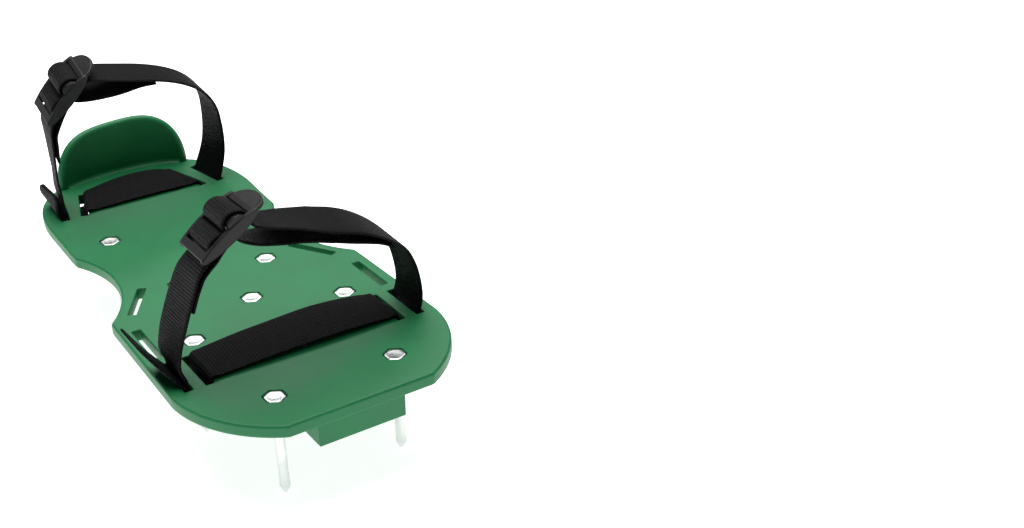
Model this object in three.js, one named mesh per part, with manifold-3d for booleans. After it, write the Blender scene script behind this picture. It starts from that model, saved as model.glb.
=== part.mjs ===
// Lawn aerator sandal: one strap-on spiked sole.  Millimetres, +Z up, toe towards -Y, heel towards +Y.
import * as THREE from 'three';
import { mergeVertices } from 'three/addons/utils/BufferGeometryUtils.js';
import Module from 'manifold-3d';

const wasm = await Module();
wasm.setup();

// ---------- driving dimensions ----------
const SHIFT_X = 3.3;            // moves the sole so that the whole object is centred on X = 0
const BED_Z = 50.5;             // foot bed above the spike tips
const SOLE_T = 6;
const UNDER_Z = BED_Z - SOLE_T;
const HALF_LENGTH = 150;
const HEEL_SHIFT = 1.2;         // the heel end stands slightly to one side
const EDGE_R = 1.2;
const GAP = 0.3;                // clearance between separate pieces

const CUP_CENTRE = 2.9;         // the cup sits a little to one side, with its top line tilted
const CUP_HALF_W = 38.3;
const CUP_RISE = 29.7;
const CUP_TILT = 0.055;
const CUP_WALL = 5;

const TOE_BLOCK_Z = 33.4;
const TOE_BLOCK_W = 42.4;
const POCKETS = [[-18, -7], [-4.8, 4.8], [7, 18]];

const SPIKE_XY = [
  [0, -90.7], [29.3, -125.5], [-29.3, -125.5], [38.6, -60.5], [-38.6, -60.5], [0, -38.8],
  [23.3, -5], [-23.3, -5], [0, 30.1], [33.9, 61.1], [-33.9, 61.1], [18.4, 105.5], [-18.4, 105.5],
];
const HEAD_AF = 9;
const HEAD_TOP = BED_Z - GAP;
const HEAD_H = 2.9;
const POCKET_AF = 9.8;
const THREAD_R = 2.9;
const THREAD_END = 30.5;
const SHANK_R = 2.3;
const HOLE_R = 3.2;
const NUT_AF = 10;
const NUT_H = 4.3;
const NUT_TOP = UNDER_Z - GAP;

const WEB_W = 25;
const WEB_T = 1.4;
const HINGE_Z = 64.5;           // height at which a strap swings over the sole
const HINGE_TRIM = 4.5;
const SWING_LOW_Z = 53.3;

const BUCKLE_HALF_W = 15.6;
const RAIL_T = 2.8;
const Q_BAR = [11, -1.5];       // loop bar, in the buckle's own length and height
const Q_BAR_R = 1.7;
const LOAD_CUT_R = 17.8;
const TAIL_CUT_R = 7.2;

// each strap: slot centre lines at the strap's middle, buckle pose, webbing routes
const FRONT = {
  name: 'front',
  yc: -86.3,
  outer: 57.4,
  inner: 47.5,
  buckle: [-43.5, 107],
  angle: 34.7,
  buckleLean: -0.11,
  crownLean: 0.13,
  skew: 0.065,
  skewFrom: 95,
  bandTilt: 0.6,
  leg: [[-59.2, 61], [-58.6, 65], [-57, 71], [-54.8, 77], [-52.9, 82], [-50.9, 87], [-49.2, 91], [-47.2, 95.3],
    [-44.9, 99.5]],
  tailEnd: [[-49.9, 84.4], [-48.9, 86.7], [-47.2, 90.5], [-45.1, 94.6], [-42.6, 98.3]],
  crown: [[-17.5, 115.8], [-13, 113.2], [-6, 111.3], [2.6, 109.3], [11.6, 106.5], [20, 103.8], [28, 101.3],
    [35, 98.3], [42, 94.1], [48.5, 89], [53.4, 84], [56.2, 78.5], [58.3, 72], [59.5, 65], [59.9, 59], [59.3, 54]],
  tail: [[-23.8, 109.9], [-19, 107.2], [-13, 105], [-6, 103.8], [2, 103], [10, 101.7], [18, 99.7], [27, 96.5],
    [35, 92.9], [41.5, 89.2], [46.4, 85.6]],
  exit: [27, -4],
  band: [[-46.2, 52.6], [-43, 52.9], [-32, 53.9], [-18, 55.1], [-2, 56], [14, 56.2], [28, 55.2], [38, 53.9],
    [43, 53], [46.2, 52.6]],
  sag: [[-56.8, 40], [-52, 38], [-41, 34.8], [-22, 32], [0, 31], [22, 32], [41, 34.8], [52, 38], [56.8, 40]],
  bow: 13,
  flap: [[-60, 52.9], [-62.4, 55.8], [-66, 60.5], [-69.4, 65.6], [-72.4, 70.5]],
  flapShift: 10,
  flapTurn: 0,
  flapGrow: 1,
};
const HEEL = {
  name: 'heel',
  yc: 112.5,
  outer: 41.95,
  inner: 30.2,
  buckle: [-44, 107],
  angle: 44.1,
  buckleLean: 0.068,
  crownLean: 0.1,
  skew: 0.1,
  skewFrom: 62,
  bandTilt: 0.8,
  leg: [[-42.1, 61], [-42.1, 66], [-42.1, 72], [-42.1, 78], [-42.1, 84], [-42.1, 90], [-42.1, 96], [-42, 99.5]],
  tailEnd: [[-39.8, 82.5], [-39.8, 86], [-39.8, 92], [-39.6, 98]],
  crown: [[-19.9, 123.6], [-14.5, 123.2], [-9, 121.9], [3, 119.3], [14, 116.8], [24, 113.9], [31.6, 110.8],
    [38.5, 106.6], [44.4, 100.5], [47.8, 93], [48.9, 84.5], [48.9, 75], [47.8, 66], [45.6, 58.5], [43.9, 54]],
  tail: [[-26.3, 114.3], [-22, 113.5], [-16, 113.1], [-8, 113.2], [0, 113.5], [8, 113.9], [17, 113.3]],
  exit: [27.1, -3.9],
  band: [[-28.9, 52.6], [-26, 53], [-18, 54.2], [-8, 55.2], [2, 55.7], [12, 55.4], [20, 54.3], [26, 53],
    [28.9, 52.6]],
  sag: [[-41.5, 40], [-37.5, 37.6], [-29, 35], [-15, 32.8], [0, 32], [15, 32.8], [29, 35], [37.5, 37.6], [41.5, 40]],
  bow: 13,
  flap: [[-45.1, 52.9], [-46.5, 56], [-47.2, 59.6], [-47.3, 64.2]],
  flapShift: 0,
  flapTurn: 0.16,
  flapGrow: 1.8,
};

// ---------- finishes ----------
function finish(color, roughness, metalness) {
  return new THREE.MeshStandardMaterial({ color, roughness, metalness });
}

const PLASTIC = finish(0x3f8f62, 0.55, 0);
const ZINC = finish(0xc9cdd0, 0.3, 0.9);
const NUT_ZINC = finish(0xbfc4c6, 0.35, 0.9);
const WEBBING = finish(0x16161a, 0.9, 0);
const BUCKLE = finish(0x3c3c3f, 0.5, 0);

// ---------- solid helpers ----------
function solid(geometry) {
  const bare = geometry.index ? geometry.toNonIndexed() : geometry.clone();
  bare.deleteAttribute('normal');
  bare.deleteAttribute('uv');
  const merged = mergeVertices(bare, 1e-4);
  const at = merged.attributes.position.array;
  const tri = Uint32Array.from(merged.index.array);
  if (signedVolume(at, tri) < 0) {
    for (let i = 0; i < tri.length; i += 3) {
      const keep = tri[i];
      tri[i] = tri[i + 1];
      tri[i + 1] = keep;
    }
  }
  return new wasm.Manifold(new wasm.Mesh({ numProp: 3, vertProperties: Float32Array.from(at), triVerts: tri }));
}

function signedVolume(at, tri) {
  let sum = 0;
  const a = new THREE.Vector3();
  const b = new THREE.Vector3();
  const c = new THREE.Vector3();
  for (let i = 0; i < tri.length; i += 3) {
    a.fromArray(at, 3 * tri[i]);
    b.fromArray(at, 3 * tri[i + 1]);
    c.fromArray(at, 3 * tri[i + 2]);
    sum += a.dot(b.cross(c));
  }
  return sum;
}

function surface(body) {
  const mesh = body.getMesh();
  const geometry = new THREE.BufferGeometry();
  const at = new Float32Array(mesh.vertProperties.length);
  for (let i = 0; i < at.length; i += 1) at[i] = mesh.vertProperties[i];
  geometry.setAttribute('position', new THREE.BufferAttribute(at, 3));
  geometry.setIndex(Array.from(mesh.triVerts));
  return geometry;
}

function reshape(geometry, rule) {
  const at = geometry.attributes.position;
  const p = new THREE.Vector3();
  for (let i = 0; i < at.count; i += 1) {
    p.fromBufferAttribute(at, i);
    rule(p);
    at.setXYZ(i, p.x, p.y, p.z);
  }
  return geometry;
}

function box(x0, x1, y0, y1, z0, z1) {
  const g = new THREE.BoxGeometry(x1 - x0, y1 - y0, z1 - z0);
  g.translate((x0 + x1) / 2, (y0 + y1) / 2, (z0 + z1) / 2);
  return solid(g);
}

function upright(radius, z0, z1, x, y, sides) {
  const g = new THREE.CylinderGeometry(radius, radius, z1 - z0, sides);
  g.rotateX(Math.PI / 2);
  g.translate(x, y, (z0 + z1) / 2);
  return solid(g);
}

function across(radius, half, x, z, sides) {
  const g = new THREE.CylinderGeometry(radius, radius, 2 * half, sides);
  g.translate(x, 0, z);
  return solid(g);
}

function node(name, geometry, material) {
  geometry.translate(SHIFT_X, 0, 0);
  geometry.computeVertexNormals();
  const mesh = new THREE.Mesh(geometry, material);
  mesh.name = name;
  return mesh;
}

// ---------- sole ----------
function arcThrough(from, to, sagitta, steps) {
  const chord = new THREE.Vector2(to[0] - from[0], to[1] - from[1]);
  const length = chord.length();
  const side = new THREE.Vector2(chord.y, -chord.x).divideScalar(length);
  const radius = (length * length / 4 + sagitta * sagitta) / (2 * Math.abs(sagitta));
  const middle = new THREE.Vector2((from[0] + to[0]) / 2, (from[1] + to[1]) / 2);
  const centre = middle.addScaledVector(side, (Math.abs(sagitta) - radius) * Math.sign(sagitta));
  const start = Math.atan2(from[1] - centre.y, from[0] - centre.x);
  let sweepBy = Math.atan2(to[1] - centre.y, to[0] - centre.x) - start;
  if (sweepBy > Math.PI) sweepBy -= 2 * Math.PI;
  if (sweepBy < -Math.PI) sweepBy += 2 * Math.PI;
  const points = [];
  for (let i = 1; i <= steps; i += 1) {
    const a = start + sweepBy * i / steps;
    points.push([centre.x + radius * Math.cos(a), centre.y + radius * Math.sin(a)]);
  }
  return points;
}

function heelPoint(t) {
  const s = 1 - t;
  const x = 3 * s * s * t * 34 + 3 * s * t * t * 56.3 + t * t * t * 56.3;
  const y = s * s * s * 150 + 3 * s * s * t * 150 + 3 * s * t * t * 137 + t * t * t * 90;
  return [x, y];
}

function halfOutline() {
  const points = [[34.8, -HALF_LENGTH]];
  points.push(...arcThrough([34.8, -150], [66, -101], 7.3, 10));
  points.push([64.9, -26.5]);
  points.push([64.1, -22.2]);
  points.push(...arcThrough([64.1, -22.2], [55.3, 51.2], -11.8, 14));
  points.push([55.5, 54.4]);
  for (let i = 12; i > 0; i -= 1) points.push(heelPoint(i / 12));
  return points;
}

function soleShape() {
  const half = halfOutline();
  const all = half.concat([[0, HALF_LENGTH]], half.map((p) => [-p[0], p[1]]).reverse());
  return new THREE.Shape(all.map((p) => new THREE.Vector2(p[0] + HEEL_SHIFT * clamp01((p[1] - 60) / 30), p[1])));
}

function solePlate() {
  const options = {
    depth: SOLE_T - 2 * EDGE_R,
    bevelThickness: EDGE_R,
    bevelSize: EDGE_R,
    bevelOffset: -EDGE_R,
    bevelSegments: 2,
  };
  const g = new THREE.ExtrudeGeometry(soleShape(), options);
  g.translate(0, 0, UNDER_Z + EDGE_R);
  return solid(g);
}

// the cup's top line, read across its front view
const CUP_R = [38.2, 37.6, 36.4, 34.5, 32, 28.5, 24, 18.5, 12, 6, 0];

function cupStation(r) {
  const rise = (1 - (Math.abs(r) / CUP_HALF_W) ** 3.4) ** 0.45;
  return [CUP_CENTRE + r, BED_Z + rise * (CUP_RISE + CUP_TILT * r)];
}

function heelFrame(x) {
  let low = 0;
  let high = 1;
  for (let i = 0; i < 40; i += 1) {
    const mid = (low + high) / 2;
    if (heelPoint(mid)[0] < Math.abs(x - HEEL_SHIFT)) low = mid;
    else high = mid;
  }
  const a = heelPoint(Math.max(low - 0.002, 0));
  const b = heelPoint(low + 0.002);
  const run = Math.hypot(b[0] - a[0], b[1] - a[1]);
  const inward = [(b[1] - a[1]) / run, -(b[0] - a[0]) / run];
  const side = Math.sign(x - HEEL_SHIFT) || 1;
  return { x, y: heelPoint(low)[1], nx: inward[0] * side, ny: inward[1] };
}

function cup() {
  const rim = 2.2;
  const tall = 40;
  const profile = new THREE.Shape();
  profile.moveTo(0.3, 0);
  profile.lineTo(0.3, tall - rim);
  profile.absarc(rim + 0.3, tall - rim, rim, Math.PI, Math.PI / 2, true);
  profile.lineTo(CUP_WALL - rim, tall);
  profile.absarc(CUP_WALL - rim, tall - rim, rim, Math.PI / 2, 0, true);
  profile.lineTo(CUP_WALL, 8.5);
  profile.absarc(CUP_WALL + 4, 8.5, 4, Math.PI, Math.PI * 1.5, false);
  profile.lineTo(CUP_WALL + 4, 0);
  const right = CUP_R.slice(0, -1).reverse();
  const stations = [...CUP_R.map((r) => cupStation(-r)), ...right.map(cupStation)];
  const count = stations.length - 1;
  const g = new THREE.ExtrudeGeometry(profile, { depth: count, steps: count, bevelEnabled: false, curveSegments: 4 });
  const frames = stations.map((s) => heelFrame(s[0]));
  const base = UNDER_Z + 2;
  reshape(g, (p) => {
    const i = Math.round(p.z);
    const f = frames[i];
    const top = stations[i][1];
    const low = Math.min(p.y, 8.5) * Math.min(1, (top - rim - base) / 8.5);
    const z = p.y > 8.6 ? top + p.y - tall : base + low;
    const x = f.x + f.nx * p.x;
    p.set(x, f.y + f.ny * p.x, z);
  });
  return solid(g);
}

function toeBlock() {
  const g = new THREE.BoxGeometry(TOE_BLOCK_W, 14.9, UNDER_Z + 1 - TOE_BLOCK_Z);
  g.translate(0, -140.95, (UNDER_Z + 1 + TOE_BLOCK_Z) / 2);
  reshape(g, (p) => {
    const taper = p.z < UNDER_Z ? 0.985 : 1;
    p.x *= taper;
    p.y = -140.95 + (p.y + 140.95) * (p.z < UNDER_Z ? 0.96 : 1);
  });
  let block = solid(g);
  for (const [x0, x1] of POCKETS) block = block.subtract(box(x0, x1, -144, -138, TOE_BLOCK_Z - 1, 42.5));
  return block;
}

function slot(from, to) {
  const run = Math.hypot(to[0] - from[0], to[1] - from[1]);
  const g = new THREE.BoxGeometry(4, run, SOLE_T + 4);
  g.rotateZ(-Math.atan2(to[0] - from[0], to[1] - from[1]));
  g.translate((from[0] + to[0]) / 2, (from[1] + to[1]) / 2, BED_Z - SOLE_T / 2);
  return solid(g);
}

const SLOTS = [
  [[39.7, 1.1], [53.2, -21.4]],
  [[57.2, -36.7], [57.6, -65.7]],
  [[57.4, -72.3], [57.4, -100.3]],
  [[47.5, -72.3], [47.5, -100.3]],
  [[39.4, 126.3], [44.5, 98.7]],
  [[26.3, 126.3], [34.1, 98.7]],
];

function sole() {
  let body = solePlate().add(cup()).add(toeBlock());
  for (const [from, to] of SLOTS) {
    body = body.subtract(slot(from, to));
    body = body.subtract(slot([-from[0], from[1]], [-to[0], to[1]]));
  }
  const pocketR = POCKET_AF / Math.sqrt(3);
  for (const [x, y] of SPIKE_XY) {
    body = body.subtract(upright(pocketR, HEAD_TOP - HEAD_H - GAP, BED_Z + 2, x, y, 6));
    body = body.subtract(upright(HOLE_R, UNDER_Z - 2, BED_Z, x, y, 16));
  }
  return surface(body);
}

// ---------- spikes and nuts ----------
function turned(profile, sides) {
  const g = new THREE.LatheGeometry(profile.map((p) => new THREE.Vector2(p[0], p[1])), sides);
  g.rotateX(Math.PI / 2);
  return solid(g);
}

function spike(x, y) {
  const under = HEAD_TOP - HEAD_H;
  const profile = [[0, 0], [0.35, 0.35], [2.5, 4.1], [2.5, 4.8], [SHANK_R, 6.2], [SHANK_R, THREAD_END - 0.8],
    [THREAD_R, THREAD_END], [THREAD_R, under + 0.5], [0, under + 0.5]];
  const shaft = turned(profile, 14);
  const head = upright(HEAD_AF / Math.sqrt(3), under, HEAD_TOP, 0, 0, 6);
  const dish = turned([[0, HEAD_TOP - 0.6], [1.8, HEAD_TOP - 0.45], [3.4, HEAD_TOP + 0.01], [0, HEAD_TOP + 0.4]], 14);
  return surface(shaft.add(head).subtract(dish)).translate(x, y, 0);
}

function nut(x, y) {
  const corner = NUT_AF / Math.sqrt(3);
  const low = NUT_TOP - NUT_H;
  const edge = corner - 0.75;
  const hex = upright(corner, low, NUT_TOP, 0, 0, 6);
  const dome = turned([[0, low], [edge, low], [corner + 0.15, low + 0.9], [corner + 0.15, NUT_TOP - 0.9],
    [edge, NUT_TOP], [0, NUT_TOP]], 18);
  const body = hex.intersect(dome).subtract(upright(HOLE_R, low - 1, NUT_TOP + 1, 0, 0, 12));
  return surface(body).rotateZ(0.4).translate(x, y, 0);
}

// ---------- webbing ----------
function webbing(points, perSpan, width = WEB_W, grow = 1) {
  const curve = new THREE.CatmullRomCurve3(points.map((p) => new THREE.Vector3(p[0], 0, p[1])), false, 'centripetal');
  const w = width / 2;
  const t = WEB_T / 2;
  const c = 0.4;
  const outline = [[-t, c - w], [c - t, -w], [t - c, -w], [t, c - w], [t, w - c], [t - c, w], [c - t, w], [-t, w - c]];
  const shape = new THREE.Shape(outline.map((p) => new THREE.Vector2(p[0], p[1])));
  const count = (points.length - 1) * perSpan;
  const g = new THREE.ExtrudeGeometry(shape, { depth: count, steps: count, bevelEnabled: false });
  return reshape(g, (p) => {
    const u = Math.round(p.z) / count;
    const at = curve.getPoint(u);
    const along = curve.getTangent(u);
    const d = p.x * (1 + (grow - 1) * clamp01((at.z - 52.5) / 3));
    p.set(at.x - along.z * d, p.y, at.z + along.x * d);
  });
}

function clamp01(v) {
  return Math.min(1, Math.max(0, v));
}

// drapes a flat strap piece into place: slanted slots at the heel, and a slight twist from buckle to crown
function drape(geometry, strap, bow = 0) {
  return reshape(geometry, (p) => {
    const w = p.y;
    const side = Math.sign(p.x);
    const far = Math.abs(p.x);
    if (strap.name === 'heel') {
      const slant = far < strap.inner ? 0.283 * far / strap.inner : 0.283 - 0.0083 * (far - strap.inner);
      p.x -= side * slant * clamp01(1 - (p.z - 55) / 44) * w;
    }
    p.x += strap.skew * clamp01((18 - p.x) / 26) * clamp01((p.z - strap.skewFrom) / 10) * w;
    const low = strap.bandTilt * clamp01((strap.inner - far) / 6) * clamp01((60 - p.z) / 2) * clamp01((p.z - 51.5) / 0.2);
    p.z -= (p.z - 51.5) * low * (WEB_W / 2 - w) / WEB_W;
    const twist = strap.buckleLean + (strap.crownLean - strap.buckleLean) * clamp01((p.x + 12) / 28);
    p.z += twist * clamp01((p.z - 76) / 26) * w;
    const reach = clamp01(1 - (far / strap.outer) ** 2);
    p.y = w + strap.yc + bow * reach;
  });
}

function buckleSpace(strap) {
  const a = THREE.MathUtils.degToRad(strap.angle);
  return ([s, n]) => [
    strap.buckle[0] + s * Math.cos(a) - n * Math.sin(a),
    strap.buckle[1] + s * Math.sin(a) + n * Math.cos(a),
  ];
}

function swingPiece(body) {
  const disc = new THREE.CylinderGeometry(WEB_W / 2, WEB_W / 2, 200, 40);
  disc.rotateZ(Math.PI / 2);
  disc.translate(0, 0, HINGE_Z);
  const above = box(-100, 100, -40, 40, HINGE_Z, 200);
  return body.intersect(solid(disc).add(above)).subtract(box(-100, 100, -40, 40, 0, SWING_LOW_Z));
}

function fixedPiece(body, strap) {
  const near = (strap.outer + strap.inner) / 2;
  let rest = body.subtract(box(-100, 100, -40, 40, HINGE_Z - HINGE_TRIM, 200));
  for (const side of [-1, 1]) {
    const disc = new THREE.CylinderGeometry(WEB_W / 2 + GAP, WEB_W / 2 + GAP, 50, 40);
    disc.rotateZ(Math.PI / 2);
    disc.translate(side * (near + 25), 0, HINGE_Z);
    rest = rest.subtract(solid(disc));
  }
  return rest;
}

// the loop strand rises from the left outer slot, passes over the loop bar and doubles back
function slotRise(strap) {
  const x = -strap.outer + 0.7;
  return [[x, 46.5], [x, 49], [x - 0.15, 51.5], [x - 0.7, 54.5], [x + (strap.leg[0][0] - x) * 0.75, 57.5]];
}

const LOOP = [[0.6, -4.4], [3.2, -4.2], [4.8, -3.1], [5.4, -1.2], [6.4, 0.6], [8.4, 1.6], [11.2, 1.75], [13.4, 1.2],
  [14.5, -0.8], [14.4, -3.2], [13, -5], [10.2, -5.7], [7.6, -6.2], [4.6, -6.9]];

function legPiece(strap) {
  const turn = LOOP.map(buckleSpace(strap));
  const down = strap.tailEnd.slice().reverse();
  return webbing([...slotRise(strap), ...strap.leg, ...turn, ...down], 2);
}

function footBand(strap) {
  const xo = -strap.outer + 0.7;
  const xi = -strap.inner - 0.7;
  const under = [[xo, 46.5], [xo + 0.1, 44.9], [xo + 1, 43.5], [xo + 2.6, 43.2], [xi - 2.6, 43.2],
    [xi - 1, 43.5], [xi - 0.1, 44.9], [xi, 46.5]];
  const up = [[xi, 49.6], [xi + 0.35, 51.2]];
  const down = [[-xi - 0.35, 51.2], [-xi, 49.6], [-xi, 46], [-xi, 41.4]];
  const rise = slotRise(strap);
  rise.shift();
  const path = [strap.leg[1], strap.leg[0], ...rise.reverse(), ...under, ...up, ...strap.band, ...down];
  return webbing(path, 2);
}

function underBand(strap) {
  const left = -strap.outer - 1;
  const right = strap.outer + 0.8;
  const top = strap.crown.slice(-3).reverse();
  const path = [[left, 50.4], [left, 47], [left + 0.1, 43.4], ...strap.sag, [right - 0.1, 43.4], [right, 47],
    [right + 0.1, 50.8], ...top.slice(0, 3)];
  return webbing(path, 2);
}

function crownRoute(strap) {
  const local = buckleSpace(strap);
  const over = [[16.4, -0.6], [16.4, 1.2], [17.3, 3.7], [19.8, 5], [22.8, 4.8], [25.2, 3.2], [26.6, 0.8],
    [27, -1.8]].map(local);
  return [...over, local(strap.exit), ...strap.crown, [strap.outer + 0.9, 50.8]];
}

function tailRoute(strap) {
  const local = buckleSpace(strap);
  return [...[[16.4, 0], [16.4, -2.4], [17, -4.8]].map(local), ...strap.tail];
}

function loopAxis(strap) {
  return buckleSpace(strap)(Q_BAR);
}

function aroundLoopBar(strap, radius) {
  const [x, z] = loopAxis(strap);
  return across(radius, 40, x, z, 64);
}

// ---------- buckle ----------
function bar(points, half) {
  const g = new THREE.ExtrudeGeometry(new THREE.Shape(points.map((p) => new THREE.Vector2(p[0], p[1]))), {
    depth: 2 * half,
    bevelEnabled: false,
  });
  g.rotateX(Math.PI / 2);
  g.translate(0, half, 0);
  return g;
}

function rail(middle) {
  const shape = new THREE.Shape();
  shape.moveTo(0, -2.1);
  shape.lineTo(0, 0);
  shape.quadraticCurveTo(7, 1.7, 16, 1.5);
  shape.quadraticCurveTo(26, 1.3, 31.4, -0.9);
  shape.lineTo(32, -2);
  shape.lineTo(31.4, -3);
  shape.quadraticCurveTo(27.5, -4.3, 24, -4.6);
  shape.quadraticCurveTo(19, -5.1, 14, -4.6);
  shape.quadraticCurveTo(5, -4.1, 0, -2.1);
  const g = new THREE.ExtrudeGeometry(shape, {
    depth: RAIL_T - 0.8,
    bevelThickness: 0.4,
    bevelSize: 0.4,
    bevelOffset: -0.4,
    bevelSegments: 1,
    curveSegments: 5,
  });
  g.rotateX(Math.PI / 2);
  g.translate(0, middle + (RAIL_T - 0.8) / 2, 0);
  return solid(g);
}

function tab() {
  const shape = new THREE.Shape();
  const half = BUCKLE_HALF_W - 0.8;
  shape.moveTo(28.3, -half);
  shape.lineTo(29.5, -half);
  shape.bezierCurveTo(35.4, -12.8, 38.4, -7.2, 38.4, 0);
  shape.bezierCurveTo(38.4, 7.2, 35.4, 12.8, 29.5, half);
  shape.lineTo(28.3, half);
  const g = new THREE.ExtrudeGeometry(shape, {
    depth: 1.2,
    bevelThickness: 0.4,
    bevelSize: 0.4,
    bevelOffset: -0.4,
    bevelSegments: 1,
    curveSegments: 7,
  });
  g.translate(0, 0, -2.5);
  reshape(g, (p) => {
    p.z -= 0.34 * Math.max(p.x - 30, 0);
  });
  const root = bar([[28.3, -3], [28.3, -0.7], [31.2, -1.2], [31.2, -3]], BUCKLE_HALF_W - 1.2);
  return solid(g).add(solid(root));
}

function buckle(strap) {
  const half = BUCKLE_HALF_W;
  const mid = half - RAIL_T / 2;
  let body = rail(mid).add(rail(-mid)).add(tab());
  body = body.add(solid(bar([[0.2, -1.6], [0.4, 0], [4, 0.7], [4, -1.2]], half - 0.5)));
  body = body.add(across(Q_BAR_R, half - 0.5, Q_BAR[0], Q_BAR[1], 16));
  body = body.add(solid(bar([[17.7, -1.7], [17.9, 2.2], [19.2, 3.5], [22.2, 3.5], [24.2, 2.6], [25.2, 0.9], [25.3, -1.7]], half - 0.5)));
  const place = buckleSpace(strap);
  return reshape(surface(body), (p) => {
    const [x, z] = place([p.x, p.z]);
    p.x = x;
    p.z = z;
  });
}

function strapNodes(strap) {
  const name = strap.name;
  const local = buckleSpace(strap);
  const loopStrand = solid(legPiece(strap));
  const load = solid(webbing(crownRoute(strap), 2));
  const tail = solid(webbing(tailRoute(strap), 2));
  const hump = load.intersect(aroundLoopBar(strap, LOAD_CUT_R - GAP / 2))
    .add(tail.intersect(aroundLoopBar(strap, TAIL_CUT_R - GAP / 2)));
  const crown = swingPiece(load.subtract(aroundLoopBar(strap, LOAD_CUT_R + GAP / 2)));
  const free = tail.subtract(aroundLoopBar(strap, TAIL_CUT_R + GAP / 2));
  const flapPath = [[-strap.outer - 1, 51.4], ...strap.flap];
  const flap = drape(surface(solid(webbing(flapPath, 3, WEB_W - 1, strap.flapGrow))), strap);
  reshape(flap, (p) => {
    p.x -= strap.flapTurn * clamp01((p.z - 52) / 8) * (p.y - strap.yc);
    p.y += strap.flapShift * clamp01((p.z - 51.4) / 19);
  });
  return [
    node(`${name}_foot_band`, drape(surface(fixedPiece(solid(footBand(strap)), strap)), strap), WEBBING),
    node(`${name}_under_band`, drape(surface(fixedPiece(solid(underBand(strap)), strap)), strap, strap.bow), WEBBING),
    node(`${name}_flap`, flap, WEBBING),
    node(`${name}_leg`, drape(surface(swingPiece(loopStrand)), strap), WEBBING),
    node(`${name}_crown`, drape(surface(crown), strap), WEBBING),
    node(`${name}_tail`, drape(surface(free), strap), WEBBING),
    node(`${name}_hump`, drape(surface(hump), strap), WEBBING),
    node(`${name}_buckle`, drape(buckle(strap), strap), BUCKLE),
  ];
}

const part = new THREE.Group();
part.add(node('sole', sole(), PLASTIC));
SPIKE_XY.forEach(([x, y], i) => {
  part.add(node(`spike_${i + 1}`, spike(x, y), ZINC));
  part.add(node(`nut_${i + 1}`, nut(x, y), NUT_ZINC));
});
for (const strap of [FRONT, HEEL]) part.add(...strapNodes(strap));

export default part;
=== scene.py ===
import math

import bmesh
import bpy
import numpy as np
from mathutils import Matrix, Vector
from mathutils.geometry import tessellate_polygon


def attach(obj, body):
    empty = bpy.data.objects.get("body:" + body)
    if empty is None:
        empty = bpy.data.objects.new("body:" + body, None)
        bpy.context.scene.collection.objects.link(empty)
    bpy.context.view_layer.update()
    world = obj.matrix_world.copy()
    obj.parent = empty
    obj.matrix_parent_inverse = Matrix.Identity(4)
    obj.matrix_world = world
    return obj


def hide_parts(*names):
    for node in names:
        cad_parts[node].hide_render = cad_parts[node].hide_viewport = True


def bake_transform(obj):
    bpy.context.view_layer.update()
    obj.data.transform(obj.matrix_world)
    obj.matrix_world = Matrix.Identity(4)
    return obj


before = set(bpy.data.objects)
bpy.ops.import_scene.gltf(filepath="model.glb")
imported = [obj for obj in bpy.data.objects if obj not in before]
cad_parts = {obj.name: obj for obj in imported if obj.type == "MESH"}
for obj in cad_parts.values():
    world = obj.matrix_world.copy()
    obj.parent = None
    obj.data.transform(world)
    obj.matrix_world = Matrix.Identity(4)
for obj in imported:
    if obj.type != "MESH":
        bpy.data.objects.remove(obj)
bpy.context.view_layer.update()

# Everything below is in millimetres in the sandal's own axes, and is turned into metres when a mesh is made.
MM = 0.001
SHIFT = np.array([3.3, 0.0, 0.0])   # from the sandal's axes to the frame's

# sole
BED = 50.5          # top of the plate
UNDER = 44.5        # underside of the plate
TOE_LOW = 33.4      # underside of the toe block
EDGE_R = 1.3
HEEL_SHIFT = 1.2    # the heel's round stands this far to the right
POCKET_FLATS = 9.8
POCKET_FLOOR = 47.0
BORE_R = 3.2

# spikes and nuts
HEAD_FLATS = 9.0
HEAD_LOW, HEAD_TOP = 47.3, 50.2
THREAD_LOW, THREAD_HIGH = 30.6, 45.2
THREAD_PITCH = 1.0
ROOT_R, CREST_R = 2.36, 2.88
NUT_FLATS = 10.0
NUT_LOW, NUT_TOP = 39.9, 44.2

# webbing
WEB_W = 25.0
WEB_T = 1.4
END_W = 24.0        # width of a loose end
RIB = 1.45          # pitch of the ribs along the webbing
RIB_H = 0.09
SLOT_GROW = 0.09    # a strap fills its slot by this part of its width
WARP = 1.1          # pitch of the warp ends across it
UV_UNIT = 100       # millimetres to one unit of the webbing's own coordinates

# buckle, in its own length from the end bar and height above it
Q_BAR = (11.0, -1.5)
Q_BAR_R = 1.7
BUCKLE_HALF_W = 15.6
RAIL_T = 2.8
LOOP_TURN = [(0.6, -4.4), (3.2, -4.2), (4.8, -3.1), (5.4, -1.2), (6.4, 0.6), (8.4, 1.6), (11.2, 1.75),
             (13.6, 1.2), (14.9, -0.8), (14.9, -3.2), (13, -5), (10.2, -5.7), (7.6, -6.2), (4.6, -6.9)]
HUMP = [(27.4, -1.8), (27, 0.8), (25.4, 3.2), (22.8, 4.8), (19.8, 5), (17.3, 3.7), (16.4, 1.2), (16.4, -0.6),
        (16.4, -2.4), (17, -4.8)]

SPIKES = [(0, -90.7), (29.3, -125.5), (-29.3, -125.5), (38.6, -60.5), (-38.6, -60.5), (0, -38.8),
          (23.3, -5), (-23.3, -5), (0, 30.1), (33.9, 61.1), (-33.9, 61.1), (18.4, 105.5), (-18.4, 105.5)]
SLOTS = [((39.7, 1.1), (53.2, -21.4)), ((57.2, -36.7), (57.6, -65.7)), ((57.4, -72.3), (57.4, -100.3)),
         ((47.5, -72.3), (47.5, -100.3)), ((39.4, 126.3), (44.5, 98.7)), ((26.3, 126.3), (34.1, 98.7))]

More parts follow.
